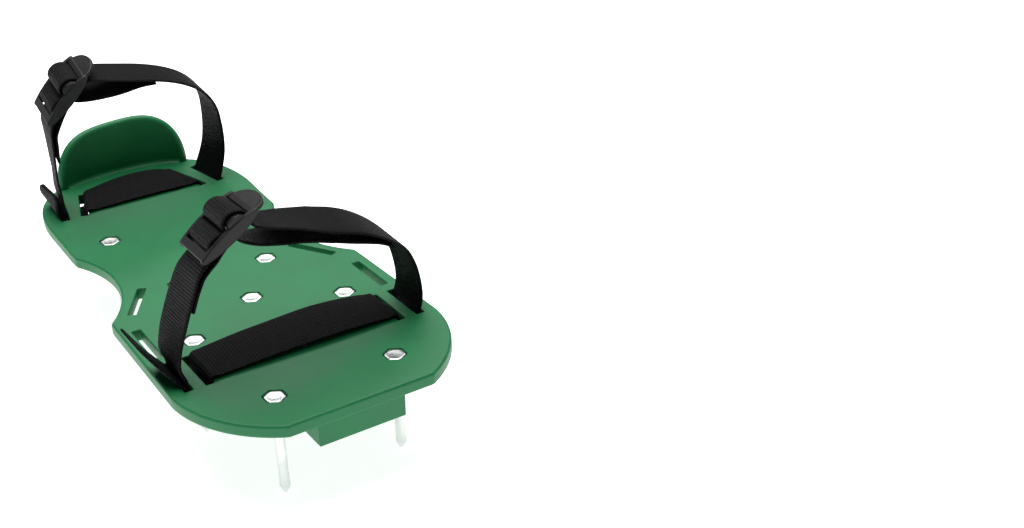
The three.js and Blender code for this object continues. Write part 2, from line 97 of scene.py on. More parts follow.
# A strap's routes are (x, z) points, and yc is its middle. outer and inner are its slots' distances from x = 0.
# buckle is the end bar and angle the buckle's rise. lean, skew, band_tilt and flap_turn twist the flat webbing.
FRONT = dict(
    name="front", yc=-86.3, outer=57.4, inner=47.5, buckle=(-43.5, 107.0), angle=34.7,
    lean=(-0.11, 0.13), skew=0.065, skew_from=95, band_tilt=0.6,
    leg=[(-59.2, 61), (-58.6, 65), (-57, 71), (-54.8, 77), (-52.9, 82), (-50.9, 87), (-49.2, 91), (-47.2, 95.3),
         (-44.9, 99.5)],
    tail_end=[(-49.9, 84.4), (-48.9, 86.7), (-47.2, 90.5), (-45.1, 94.6), (-42.6, 98.3)],
    crown=[(-17.5, 115.8), (-13, 113.2), (-6, 111.3), (2.6, 109.3), (11.6, 106.5), (20, 103.8), (28, 101.3),
           (35, 98.3), (42, 94.1), (48.5, 89), (53.4, 84), (56.2, 78.5), (58.3, 72), (59.5, 65), (59.9, 59),
           (59.3, 54)],
    tail=[(-23.8, 109.9), (-19, 107.2), (-13, 105), (-6, 103.8), (2, 103), (10, 101.7), (18, 99.7), (27, 96.5),
          (35, 93.6), (41.5, 90.9), (47.2, 87.5)],
    exit=(27.4, -4), bow=13.0, flap_shift=10.0,
    band=[(-45, 52.6), (-42, 53), (-32, 53.9), (-18, 55.1), (-2, 56), (14, 56.2), (28, 55.2), (38, 53.9),
          (42, 53), (45, 52.6)],
    sag=[(-56.8, 40), (-52, 38), (-41, 34.8), (-22, 32), (0, 31), (22, 32), (41, 34.8), (52, 38), (56.8, 40)],
    flap=[(-60, 52.9), (-62.4, 55.8), (-66, 60.5), (-69.4, 65.6), (-72.4, 70.5)],
    flap_turn=0.0, flap_grow=1.0, tuck=0.5,
)
HEEL = dict(
    name="heel", yc=112.5, outer=41.95, inner=30.2, buckle=(-44.0, 107.0), angle=44.1,
    lean=(0.068, 0.10), skew=0.1, skew_from=62, band_tilt=0.8,
    leg=[(-42.1, 61), (-42.1, 66), (-42.1, 72), (-42.1, 78), (-42.1, 84), (-42.1, 90), (-42.1, 96), (-42, 99.5)],
    tail_end=[(-39.8, 82.5), (-39.8, 86), (-39.8, 92), (-39.6, 98)],
    crown=[(-19.9, 123.6), (-14.5, 123.2), (-9, 121.9), (3, 119.3), (14, 116.8), (24, 113.9), (31.6, 110.8),
           (38.5, 106.6), (44.4, 100.5), (47.8, 93), (48.9, 84.5), (48.9, 75), (47.8, 66), (45.6, 58.5),
           (43.9, 54)],
    tail=[(-26.3, 114.3), (-22, 113.5), (-16, 113.1), (-8, 113.2), (0, 113.5), (8, 114.2), (17, 113.8)],
    exit=(27.4, -3.9), bow=13.0, flap_shift=0.0,
    band=[(-27.7, 52.6), (-25, 53), (-18, 54.2), (-8, 55.2), (2, 55.7), (12, 55.4), (20, 54.3), (25, 53),
          (27.7, 52.6)],
    sag=[(-41.5, 40), (-37.5, 37.6), (-29, 35), (-15, 32.8), (0, 32), (15, 32.8), (29, 35), (37.5, 37.6),
         (41.5, 40)],
    flap=[(-45.1, 52.9), (-46.5, 56), (-47.2, 59.6), (-47.3, 64.2)], flap_turn=0.16, flap_grow=1.8, tuck=2.6,
)


# ---------------------------------------------------------------- mesh building
class Build:
    """Collects rings of points and the faces between them."""

    def __init__(self):
        self.points = []
        self.faces = []

    def ring(self, points):
        start = len(self.points)
        self.points.extend([tuple(float(c) for c in p) for p in points])
        return list(range(start, len(self.points)))

    def bridge(self, a, b):
        for i in range(len(a)):
            j = (i + 1) % len(a)
            self.faces.append((a[i], a[j], b[j], b[i]))

    def loft(self, rings):
        for a, b in zip(rings, rings[1:]):
            self.bridge(a, b)

    def fill(self, outer, holes=()):
        loops = [[Vector(self.points[i]) for i in outer]]
        order = list(outer)
        for hole in holes:
            loops.append([Vector(self.points[i]) for i in hole])
            order.extend(hole)
        for tri in tessellate_polygon(loops):
            self.faces.append(tuple(order[k] for k in tri))

    def mesh(self, name):
        data = bpy.data.meshes.new(name)
        shifted = (np.array(self.points) + SHIFT) * MM
        data.from_pydata(shifted.tolist(), [], self.faces)
        bm = bmesh.new()
        bm.from_mesh(data)
        bmesh.ops.recalc_face_normals(bm, faces=bm.faces)
        bm.to_mesh(data)
        bm.free()
        data.update()
        return data


def piece(name, data, material):
    obj = bpy.data.objects.new(name, data)
    bpy.context.scene.collection.objects.link(obj)
    data.materials.clear()
    data.materials.append(material)
    return obj


def shade(obj, angle=32, weighted=True):
    data = obj.data
    data.shade_smooth()
    data.set_sharp_from_angle(angle=math.radians(angle))
    if weighted:
        m = obj.modifiers.new("normals", "WEIGHTED_NORMAL")
        m.keep_sharp = True
        m.weight = 100
    return obj


def united(name, parts, material):
    """One mesh from several closed ones."""
    base = piece(name, parts[0], material)
    helpers = []
    for i, data in enumerate(parts[1:]):
        helper = piece(f"{name}_part{i}", data, material)
        helpers.append(helper)
        m = base.modifiers.new("join", "BOOLEAN")
        m.operation = "UNION"
        m.solver = "EXACT"
        m.object = helper
    depsgraph = bpy.context.evaluated_depsgraph_get()
    result = bpy.data.meshes.new_from_object(base.evaluated_get(depsgraph))
    for helper in helpers + [base]:
        bpy.data.objects.remove(helper)
    bm = bmesh.new()
    bm.from_mesh(result)
    bmesh.ops.remove_doubles(bm, verts=bm.verts, dist=2e-6)
    bm.to_mesh(result)
    bm.free()
    return piece(name, result, material)


def offset(loop, d):
    """A closed plan loop moved inwards by d."""
    p = np.array(loop, float)
    before = p - np.roll(p, 1, 0)
    after = np.roll(p, -1, 0) - p
    before /= np.linalg.norm(before, axis=1)[:, None]
    after /= np.linalg.norm(after, axis=1)[:, None]
    n0 = np.stack([-before[:, 1], before[:, 0]], 1)
    n1 = np.stack([-after[:, 1], after[:, 0]], 1)
    area = 0.5 * np.sum(p[:, 0] * np.roll(p[:, 1], -1) - np.roll(p[:, 0], -1) * p[:, 1])
    n = n0 + n1
    n /= np.linalg.norm(n, axis=1)[:, None]
    scale = np.clip(np.sum(n * n0, 1), 0.45, 1)
    return p + n * (d * np.sign(area) / scale)[:, None]


def at_height(loop, z):
    return [(x, y, z) for x, y in loop]


def rounded(points, radius, steps):
    """Rounds every corner of a closed polygon."""
    out = []
    n = len(points)
    for i in range(n):
        a, b, c = (np.array(points[(i + k) % n], float) for k in (-1, 0, 1))
        u = (a - b) / np.linalg.norm(a - b)
        v = (c - b) / np.linalg.norm(c - b)
        half = 0.5 * math.acos(float(np.clip(u @ v, -1, 1)))
        reach = radius / math.tan(half)
        start, end = b + u * reach, b + v * reach
        middle = b + (u + v) / np.linalg.norm(u + v) * radius / math.sin(half)
        for k in range(steps + 1):
            t = k / steps
            q = start * (1 - t) + end * t - middle
            out.append(tuple(middle + q / np.linalg.norm(q) * radius))
    return out


def circle(x, y, r, n, phase=0.0):
    return [(x + r * math.cos(2 * math.pi * i / n + phase), y + r * math.sin(2 * math.pi * i / n + phase))
            for i in range(n)]


# ---------------------------------------------------------------- materials
def shader(name):
    m = bpy.data.materials.new(name)
    m.use_nodes = True
    nodes = m.node_tree.nodes
    links = m.node_tree.links
    return m, nodes, links, nodes["Principled BSDF"]


def noise(nodes, links, scale, detail, stretch=(1, 1, 1)):
    where = nodes.new("ShaderNodeTexCoord")
    spread = nodes.new("ShaderNodeMapping")
    spread.inputs["Scale"].default_value = stretch
    n = nodes.new("ShaderNodeTexNoise")
    n.inputs["Scale"].default_value = scale
    n.inputs["Detail"].default_value = detail
    links.new(where.outputs["Object"], spread.inputs["Vector"])
    links.new(spread.outputs["Vector"], n.inputs["Vector"])
    return n


def ramp(nodes, links, value, stops):
    r = nodes.new("ShaderNodeValToRGB")
    while len(r.color_ramp.elements) < len(stops):
        r.color_ramp.elements.new(0.5)
    for element, (position, colour) in zip(r.color_ramp.elements, stops):
        element.position = position
        element.color = (*colour, 1)
    links.new(value, r.inputs["Fac"])
    return r


def paint(nodes, links, bsdf, value, low, high):
    """Colour that drifts between two tones."""
    tone = ramp(nodes, links, value, [(0.3, low), (0.7, high)])
    links.new(tone.outputs["Color"], bsdf.inputs["Base Color"])


def roughen(nodes, links, bsdf, value, low, high, top=0.7):
    """Roughness that drifts between two values."""
    gloss = ramp(nodes, links, value, [(0.3, (low,) * 3), (top, (high,) * 3)])
    links.new(gloss.outputs["Color"], bsdf.inputs["Roughness"])


def bump(nodes, links, value, distance, strength, before=None):
    b = nodes.new("ShaderNodeBump")
    b.inputs["Distance"].default_value = distance
    b.inputs["Strength"].default_value = strength
    links.new(value, b.inputs["Height"])
    if before:
        links.new(before.outputs["Normal"], b.inputs["Normal"])
    return b


def green_plastic():
    m, nodes, links, bsdf = shader("moulded_green")
    bsdf.inputs["Specular IOR Level"].default_value = 0.4
    cloud = noise(nodes, links, 45, 4)
    colour = ramp(nodes, links, cloud.outputs["Fac"],
                  [(0.3, (0.006, 0.182, 0.058)), (0.7, (0.010, 0.215, 0.072))])
    grain = noise(nodes, links, 1500, 2)
    speck = nodes.new("ShaderNodeMix")
    speck.data_type = "RGBA"
    speck.blend_type = "MULTIPLY"
    speck.inputs["Factor"].default_value = 0.35
    tint = ramp(nodes, links, grain.outputs["Fac"], [(0.35, (0.72, 0.76, 0.72)), (0.65, (1, 1, 1))])
    links.new(colour.outputs["Color"], speck.inputs[6])
    links.new(tint.outputs["Color"], speck.inputs[7])
    links.new(speck.outputs[2], bsdf.inputs["Base Color"])
    roughen(nodes, links, bsdf, cloud.outputs["Fac"], 0.46, 0.56)
    wave = bump(nodes, links, cloud.outputs["Fac"], 0.0006, 0.25)
    fine = bump(nodes, links, grain.outputs["Fac"], 0.00012, 0.55, wave)
    links.new(fine.outputs["Normal"], bsdf.inputs["Normal"])
    return m


def zinc(name, low, high):
    m, nodes, links, bsdf = shader(name)
    bsdf.inputs["Metallic"].default_value = 1.0
    patch = noise(nodes, links, 260, 4)
    paint(nodes, links, bsdf, patch.outputs["Fac"], low, high)
    roughen(nodes, links, bsdf, patch.outputs["Fac"], 0.33, 0.42, 0.75)
    drawn = noise(nodes, links, 900, 2, stretch=(1, 1, 0.08))
    lines = bump(nodes, links, drawn.outputs["Fac"], 0.00004, 0.4)
    links.new(lines.outputs["Normal"], bsdf.inputs["Normal"])
    return m


def dark_plastic():
    m, nodes, links, bsdf = shader("buckle_grey")
    bsdf.inputs["Specular IOR Level"].default_value = 0.25
    cloud = noise(nodes, links, 220, 4)
    paint(nodes, links, bsdf, cloud.outputs["Fac"], (0.012, 0.012, 0.012), (0.018, 0.018, 0.0185))
    roughen(nodes, links, bsdf, cloud.outputs["Fac"], 0.36, 0.47)
    grain = noise(nodes, links, 2200, 2)
    fine = bump(nodes, links, grain.outputs["Fac"], 0.00006, 0.4)
    links.new(fine.outputs["Normal"], bsdf.inputs["Normal"])
    return m


def math_node(nodes, links, kind, a, b=None):
    n = nodes.new("ShaderNodeMath")
    n.operation = kind
    for socket, value in zip(n.inputs, (a, b)):
        if value is None:
            continue
        if isinstance(value, (int, float)):
            socket.default_value = value
        else:
            links.new(value, socket)
    return n.outputs[0]


def ripple(nodes, links, phase):
    """Rounded ridges, one to each whole number of phase."""
    turn = math_node(nodes, links, "MULTIPLY", phase, math.pi)
    return math_node(nodes, links, "ABSOLUTE", math_node(nodes, links, "SINE", turn))


def black_webbing():
    """Plain woven tape: transverse ribs crossed by warp ends, with their own coordinates along and across."""
    m, nodes, links, bsdf = shader("black_webbing")
    bsdf.inputs["Specular IOR Level"].default_value = 0.10
    uv = nodes.new("ShaderNodeUVMap")
    uv.uv_map = "tape"
    split = nodes.new("ShaderNodeSeparateXYZ")
    links.new(uv.outputs["UV"], split.inputs[0])
    along = math_node(nodes, links, "MULTIPLY", split.outputs["X"], UV_UNIT / RIB)
    across = math_node(nodes, links, "MULTIPLY", split.outputs["Y"], UV_UNIT / WARP)
    row = math_node(nodes, links, "FLOOR", along)
    odd = math_node(nodes, links, "MULTIPLY", row, 0.5)
    shifted = math_node(nodes, links, "ADD", across, odd)
    rib = ripple(nodes, links, along)
    end = ripple(nodes, links, shifted)
    weave = math_node(nodes, links, "MULTIPLY", math_node(nodes, links, "POWER", rib, 0.6),
                      math_node(nodes, links, "POWER", end, 0.5))
    colour = ramp(nodes, links, weave, [(0.15, (0.0009, 0.0009, 0.0011)), (0.9, (0.0068, 0.0068, 0.0080))])
    links.new(colour.outputs["Color"], bsdf.inputs["Base Color"])
    fuzz = noise(nodes, links, 3000, 3)
    roughen(nodes, links, bsdf, fuzz.outputs["Fac"], 0.5, 0.75)
    coarse = bump(nodes, links, weave, 0.00035, 0.8)
    fine = bump(nodes, links, fuzz.outputs["Fac"], 0.00006, 0.5, coarse)
    links.new(fine.outputs["Normal"], bsdf.inputs["Normal"])
    return m


GREEN = green_plastic()
SPIKE_ZINC = zinc("bright_zinc", (0.70, 0.73, 0.71), (0.82, 0.84, 0.83))
NUT_ZINC = zinc("nut_zinc", (0.55, 0.57, 0.58), (0.76, 0.78, 0.79))
GREY = dark_plastic()
TAPE = black_webbing()


# ---------------------------------------------------------------- sole
def arc_through(a, b, sagitta, steps):
    """An arc from a to b that bulges by sagitta to the right of the way."""
    a, b = np.array(a, float), np.array(b, float)
    chord = b - a
    length = np.linalg.norm(chord)
    side = np.array([chord[1], -chord[0]]) / length
    radius = (length ** 2 / 4 + sagitta ** 2) / (2 * abs(sagitta))
    centre = (a + b) / 2 + side * (abs(sagitta) - radius) * np.sign(sagitta)
    start = math.atan2(*(a - centre)[::-1])
    turn = math.atan2(*(b - centre)[::-1]) - start
    turn = (turn + math.pi) % (2 * math.pi) - math.pi
    angles = [start + turn * i / steps for i in range(steps + 1)]
    return [tuple(centre + radius * np.array([math.cos(a), math.sin(a)])) for a in angles]


def straight(a, b, count):
    return [tuple(p) for p in np.linspace(a, b, count)]


def heel_point(t):
    """The heel's right quarter, a cubic curve from its back at t = 0 to its side at t = 1."""
    s = 1 - t
    x = 3 * s * s * t * 34 + (3 * s * t * t + t ** 3) * 56.3
    y = (s ** 3 + 3 * s * s * t) * 150 + 3 * s * t * t * 137 + t ** 3 * 90
    return x, y


def blend_corner(before, corner, after, reach, steps=5):
    """A soft corner between two stretches of outline."""
    b, c, a = (np.array(v, float) for v in (before, corner, after))
    u = (b - c) / np.linalg.norm(b - c)
    v = (a - c) / np.linalg.norm(a - c)
    p0, p2 = c + u * reach, c + v * reach
    return [tuple(p0 * (1 - t) ** 2 + 2 * c * t * (1 - t) + p2 * t * t) for t in np.linspace(0, 1, steps)]


def outline():
    toe = arc_through((34.8, -150), (66, -101), 7.3, 26)
    waist = arc_through((64.3, -23.5), (55.4, 52.5), -12.2, 40)
    half = straight((3, -150), (31, -150), 8)
    half += blend_corner((0, -150), (34.8, -150), toe[2], 1.3)
    half += toe[2:-2]
    half += blend_corner(toe[-3], (66, -101), (64.3, -23.5), 1.3, 4)
    half += straight((65.9, -95), (64.5, -30), 14)
    half += blend_corner((66, -101), (64.3, -23.5), waist[2], 1.5)
    half += waist[3:-2]
    half += blend_corner(waist[-3], (55.4, 52.5), (56.3, 90), 1.4)
    half += straight((55.6, 59), (56.2, 86), 7)
    half += [heel_point(t) for t in np.linspace(1, 0.02, 44)]
    both = half + [(0.0, 150.0)] + [(-x, y) for x, y in reversed(half)] + [(0.0, -150.0)]
    return [(x + HEEL_SHIFT * min(max((y - 60) / 30, 0), 1), y) for x, y in both]


def slot_loop(a, b, side):
    a, b = np.array(a, float), np.array(b, float)
    u = (b - a) / np.linalg.norm(b - a)
    v = np.array([-u[1], u[0]]) * 2.0
    corners = [a + v, a - v, b - v, b + v]
    loop = rounded([tuple(c) for c in corners], 0.55, 3)
    return [(side * x, y) for x, y in loop][::side]


def edge_profile(radius, top, steps=5):
    """(inset, height) pairs from a flat down round an edge."""
    return [(radius * (1 - math.sin(a)), top - radius * (1 - math.cos(a)))
            for a in np.linspace(0, math.pi / 2, steps)]


def low_edge(radius, bottom, steps=5):
    """The same round a lower edge, from the side in to the underside."""
    return [(i, bottom + BED - z) for i, z in edge_profile(radius, BED, steps)][::-1]


def plate():
    b = Build()
    loop = outline()
    levels = edge_profile(EDGE_R, BED) + low_edge(1.0, UNDER)
    outer = [b.ring(at_height(offset(loop, i), z)) for i, z in levels]
    b.loft(outer)
    top_holes, low_holes = [], []
    for first, last in SLOTS:
        for side in (1, -1):
            hole = slot_loop(first, last, side)
            levels = edge_profile(0.6, BED, 4) + low_edge(0.5, UNDER, 3)
            rings = [b.ring(at_height(offset(hole, -i), z)) for i, z in levels]
            b.loft(rings)
            top_holes.append(rings[0])
            low_holes.append(rings[-1])
    for x, y in SPIKES:
        hexagon = rounded(circle(x, y, POCKET_FLATS / math.sqrt(3), 6, math.pi / 2), 1.0, 3)
        levels = edge_profile(0.4, BED, 4) + [(0, POCKET_FLOOR)]
        rings = [b.ring(at_height(offset(hexagon, -i), z)) for i, z in levels]
        b.loft(rings)
        top_holes.append(rings[0])
        bore = circle(x, y, BORE_R, 28)
        levels = [(0, POCKET_FLOOR), (0, UNDER + 0.4), (-0.4, UNDER)]
        wall = [b.ring(at_height(offset(bore, i), z)) for i, z in levels]
        b.loft(wall)
        b.fill(rings[-1], [wall[0]])
        low_holes.append(wall[-1])
    b.fill(outer[0], top_holes)
    b.fill(outer[-1], low_holes)
    return b.mesh("plate")


def heel_frame(x):
    """The point of the heel's edge at x, and the way inwards from there."""
    lo, hi = 0.0, 1.0
    for _ in range(40):
        mid = (lo + hi) / 2
        if heel_point(mid)[0] < abs(x - HEEL_SHIFT):
            lo = mid
        else:
            hi = mid
    a, c = heel_point(max(lo - 0.002, 0)), heel_point(lo + 0.002)
    run = math.hypot(c[0] - a[0], c[1] - a[1])
    side = 1 if x >= HEEL_SHIFT else -1
    return np.array([x, heel_point(lo)[1]]), np.array([(c[1] - a[1]) / run * side, -(c[0] - a[0]) / run])


def cup():
    """The heel cup: a wall on the heel's edge, with a full round rim and a fillet at its foot."""
    centre, half_w, rise, tilt = 2.9, 38.3, 29.7, 0.055
    wall, rim_r, fillet = 5.0, 2.35, 2.6
    square, full = 3.4, 0.45    # the rim's height is (1 - (x / half_w) ^ square) ^ full
    sunk, proud = 46.3, 0.04    # how low the wall starts inside the plate, and how far it stands out
    side = [(half_w, -0.12), (half_w, -0.06)]
    for h in np.sin(np.linspace(0.02, 1.25, 22)):
        side.append((half_w * (1 - h ** (1 / full)) ** (1 / square), h))
    for x in np.linspace(side[-1][0], 0, 16)[1:]:
        side.append((x, (1 - (x / half_w) ** square) ** full))
    both = side + [(-x, h) for x, h in side[:-1]][::-1]
    edge = np.array([(centre + x, BED + h * (rise + tilt * x)) for x, h in both])
    run = np.gradient(edge, axis=0)
    run /= np.linalg.norm(run, axis=1)[:, None]
    normal = np.stack([run[:, 1], -run[:, 0]], 1)
    quarter = np.linspace(0, math.pi / 2, 7)
    b = Build()
    rings = []
    for (x, z), n in zip(edge, normal):
        top = np.array([x, z])
        inner = top - n * rim_r
        foot = min(fillet, max(0.3, 0.7 * (z - BED - rim_r)))
        spots = [(inner[0], sunk, -proud)]
        for a in quarter:
            at = top - n * rim_r * (1 - math.sin(a))
            spots.append((at[0], at[1], -proud + rim_r * (1 - math.cos(a))))
        for a in quarter[::-1]:
            at = top - n * rim_r * (1 - math.sin(a))
            spots.append((at[0], at[1], wall - rim_r * (1 - math.cos(a))))
        for a in quarter:
            height = min(BED + foot * (1 - math.sin(a)), max(inner[1], sunk + 0.5))
            spots.append((inner[0], height - 0.02, wall + foot * (1 - math.cos(a))))
        spots.append((inner[0], sunk, wall + foot))
        ring = []
        for sx, sz, depth in spots:
            at, inward = heel_frame(sx)
            ring.append((sx + inward[0] * depth, at[1] + inward[1] * depth, sz))
        rings.append(b.ring(ring))
    b.loft(rings)
    b.faces.append(tuple(rings[0]))
    b.faces.append(tuple(rings[-1]))
    return b.mesh("cup")


def toe_block():
    b = Build()
    loop = rounded([(-21.2, -148.6), (21.2, -148.6), (21.2, -133.3), (-21.2, -133.3)], 0.7, 4)
    levels = [(0.0, UNDER + 1.2), (0.1, UNDER)] + [(0.35 + i, z) for i, z in low_edge(0.5, TOE_LOW, 4)]
    rings = [b.ring(at_height(offset(loop, i), z)) for i, z in levels]
    b.loft(rings)
    b.fill(rings[0])
    holes = []
    for x0, x1 in ((-18, -7), (-4.8, 4.8), (7, 18)):
        core = rounded([(x0, -144), (x1, -144), (x1, -138), (x0, -138)], 0.5, 3)
        depths = ((-0.25, TOE_LOW), (0, TOE_LOW + 0.3), (0.2, 42.5))
        walls = [b.ring(at_height(offset(core, i), z)) for i, z in depths]
        b.loft(walls)
        b.fill(walls[-1])
        holes.append(walls[0])
    b.fill(rings[-1], holes)
    return b.mesh("toe_block")


def make_sole():
    obj = united("sole_moulding", [plate(), cup(), toe_block()], GREEN)
    shade(obj, 35)
    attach(obj, "sole_body")
    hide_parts("sole")


# ---------------------------------------------------------------- spikes and nuts
def polar(radii, z):
    """A level ring of points from its radii, in even steps round the axis."""
    angles = [2 * math.pi * i / len(radii) for i in range(len(radii))]
    return [(r * math.cos(a), r * math.sin(a), z) for r, a in zip(radii, angles)]


def turned(b, profile, sides):
    rings = [b.ring(polar([r] * sides, z)) for r, z in profile]
    b.loft(rings)
    return rings


def thread_rings(b, sides):
    """A helical ridge that runs out at both ends."""
    rings = []
    count = int((THREAD_HIGH - THREAD_LOW) / THREAD_PITCH * 8)
    for k in range(count + 1):
        z = THREAD_LOW + (THREAD_HIGH - THREAD_LOW) * k / count
        runout = min(1.0, k / 10, (count - k) / 6 + 0.25)
        radii = []
        for i in range(sides):
            phase = (z / THREAD_PITCH - i / sides) % 1.0
            depth = min(max((abs(phase - 0.5) * 2 - 0.12) / 0.76, 0), 1)
            radii.append(ROOT_R + (CREST_R - ROOT_R) * (1 - depth) * runout)
        rings.append(b.ring(polar(radii, z)))
    return rings


def spike_mesh():
    b = Build()
    sides, head_sides = 40, 60
    point = [(0.16, 0.0), (0.35, 0.18), (0.75, 0.85), (1.55, 2.35), (2.25, 3.7), (2.45, 4.2), (2.5, 4.7),
             (2.44, 5.4)]
    shank = turned(b, point + [(2.33, 6.6), (2.3, 8), (2.3, 14), (2.3, 20), (2.3, 26), (2.3, 29.6)], sides)
    b.faces.append(tuple(shank[0]))
    thread = thread_rings(b, sides)
    neck = turned(b, [(2.8, 45.6), (2.85, 46.4), (2.85, HEAD_LOW)], sides)
    b.loft([shank[-1]] + thread + neck[:1])
    corner = HEAD_FLATS / math.sqrt(3)
    head = []
    for inset, z in [(0.25, HEAD_LOW), (0, HEAD_LOW + 0.25), (0, HEAD_TOP - 0.45), (0.12, HEAD_TOP - 0.18),
                     (0.45, HEAD_TOP)]:
        radii = []
        for i in range(head_sides):
            from_flat = ((2 * math.pi * i / head_sides - math.pi / 2) % (math.pi / 3)) - math.pi / 6
            flat = (corner - inset) * math.cos(math.pi / 6) / math.cos(from_flat)
            radii.append(min(flat, corner * 0.955 - inset))
        head.append(b.ring(polar(radii, z)))
    b.loft(head)
    dish = turned(b, [(3.35, HEAD_TOP), (3.2, HEAD_TOP - 0.03), (2.5, HEAD_TOP - 0.13), (1.4, HEAD_TOP - 0.2),
                      (0.5, HEAD_TOP - 0.22)], head_sides)
    b.bridge(head[-1], dish[0])
    b.faces.append(tuple(dish[-1]))
    b.fill(head[0], [neck[-1]])
    return b.mesh("spike")


def nut_mesh():
    b = Build()
    n = 72
    corner = NUT_FLATS / math.sqrt(3)
    angles = [2 * math.pi * i / n for i in range(n)]
    hexagon = [corner * math.cos(math.pi / 6) / math.cos((a % (math.pi / 3)) - math.pi / 6) for a in angles]
    face_r, mouth_r = 4.85, 3.7
    eased = [max(r - 0.1, face_r) for r in hexagon]
    drop = [max(r - face_r, 0) * 0.62 for r in hexagon]     # the chamfer's depth at each corner

    def ring(radii, heights):
        turned_on = [a + 0.4 for a in angles]
        return b.ring([(r * math.cos(a), r * math.sin(a), z) for a, r, z in zip(turned_on, radii, heights)])

    levels = [([BORE_R] * n, [NUT_LOW + 0.5] * n), ([mouth_r] * n, [NUT_LOW] * n), ([face_r] * n, [NUT_LOW] * n),
              (eased, [NUT_LOW + d * 0.9 for d in drop]),
              (hexagon, [NUT_LOW + d + 0.12 for d in drop]),
              (hexagon, [(NUT_LOW + NUT_TOP) / 2] * n),
              (hexagon, [NUT_TOP - d - 0.12 for d in drop]),
              (eased, [NUT_TOP - d * 0.9 for d in drop]),
              ([face_r] * n, [NUT_TOP] * n), ([mouth_r] * n, [NUT_TOP] * n), ([BORE_R] * n, [NUT_TOP - 0.5] * n)]
    rings = [ring(r, z) for r, z in levels]
    b.loft(rings + [rings[0]])
    return b.mesh("nut")


def place_spikes():
    fasteners = ((spike_mesh(), SPIKE_ZINC, "spike", 38), (nut_mesh(), NUT_ZINC, "nut", 28))
    for data, material, kind, angle in fasteners:
        for i, (x, y) in enumerate(SPIKES):
            obj = piece(f"{kind}_{i + 1}_turned", data, material)
            if i == 0:
                shade(obj, angle, weighted=False)
            obj.location = (x * MM, y * MM, 0)
            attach(obj, "sole_body")
            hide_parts(f"{kind}_{i + 1}")


# ---------------------------------------------------------------- webbing
def spline(points, step):
    """Centripetal Catmull-Rom through the points, sampled at even steps."""
    p = np.array(points, float)
    p = np.vstack([2 * p[0] - p[1], p, 2 * p[-1] - p[-2]])
    out = []
    for i in range(1, len(p) - 2):
        p0, p1, p2, p3 = p[i - 1], p[i], p[i + 1], p[i + 2]
        t = [0.0]
        for a, c in ((p0, p1), (p1, p2), (p2, p3)):
            t.append(t[-1] + max(np.linalg.norm(c - a), 1e-6) ** 0.5)
        for u in np.linspace(t[1], t[2], 40, endpoint=False):
            a1 = (t[1] - u) / (t[1] - t[0]) * p0 + (u - t[0]) / (t[1] - t[0]) * p1
            a2 = (t[2] - u) / (t[2] - t[1]) * p1 + (u - t[1]) / (t[2] - t[1]) * p2
            a3 = (t[3] - u) / (t[3] - t[2]) * p2 + (u - t[2]) / (t[3] - t[2]) * p3
            b1 = (t[2] - u) / (t[2] - t[0]) * a1 + (u - t[0]) / (t[2] - t[0]) * a2
            b2 = (t[3] - u) / (t[3] - t[1]) * a2 + (u - t[1]) / (t[3] - t[1]) * a3
            out.append((t[2] - u) / (t[2] - t[1]) * b1 + (u - t[1]) / (t[2] - t[1]) * b2)
    out.append(p[-2])
    out = np.array(out)
    run = np.concatenate([[0], np.cumsum(np.linalg.norm(np.diff(out, axis=0), axis=1))])
    s = np.linspace(0, run[-1], max(int(run[-1] / step), 8))
    return np.stack([np.interp(s, run, out[:, 0]), np.interp(s, run, out[:, 1])], 1), s


def clamp01(v):
    return np.clip(v, 0.0, 1.0)


def drape(strap, x, w, z, bow=0.0):
    """Places a point of a flat strap: slanted slots at the heel, and a slight twist from buckle to crown."""
    fan, loss = 0.283, 0.0083   # slope of the heel's inner slots, and what each millimetre outwards takes off it
    outer, inner = strap["outer"], strap["inner"]
    far = np.abs(x)
    if strap["name"] == "heel":
        slant = np.where(far < inner, fan * far / inner, fan - loss * (far - inner))
        x = x - np.sign(x) * slant * clamp01(1 - (z - 55) / 44) * w
    x = x + strap["skew"] * clamp01((18 - x) / 26) * clamp01((z - strap["skew_from"]) / 10) * w
    low_band = strap["band_tilt"] * clamp01((inner - far) / 6) * clamp01((60 - z) / 2) * clamp01((z - 51.5) / 0.2)
    z = z - (z - 51.5) * low_band * (WEB_W / 2 - w) / WEB_W
    low, high = strap["lean"]
    twist = low + (high - low) * clamp01((x + 12) / 28)
    z = z + twist * clamp01((z - 76) / 26) * w
    return x, w + strap["yc"] + bow * clamp01(1 - (far / outer) ** 2), z


def section():
    """Half thickness and place across, round the tape's edge, in order."""
    half_t, half_w = WEB_T / 2, WEB_W / 2
    across = [-11.9, -10.9, -9.5, -6.5, -3.2, 0, 3.2, 6.5, 9.5, 10.9, 11.9]
    top = [(half_t * (0.86 if abs(w) > 11.5 else 1), w) for w in across]
    right = [(half_t * 0.55, half_w - 0.12), (0, half_w), (-half_t * 0.55, half_w - 0.12)]
    bottom = [(-t, w) for t, w in reversed(top)]
    left = [(-t, -w) for t, w in right]
    return top + right + bottom + left


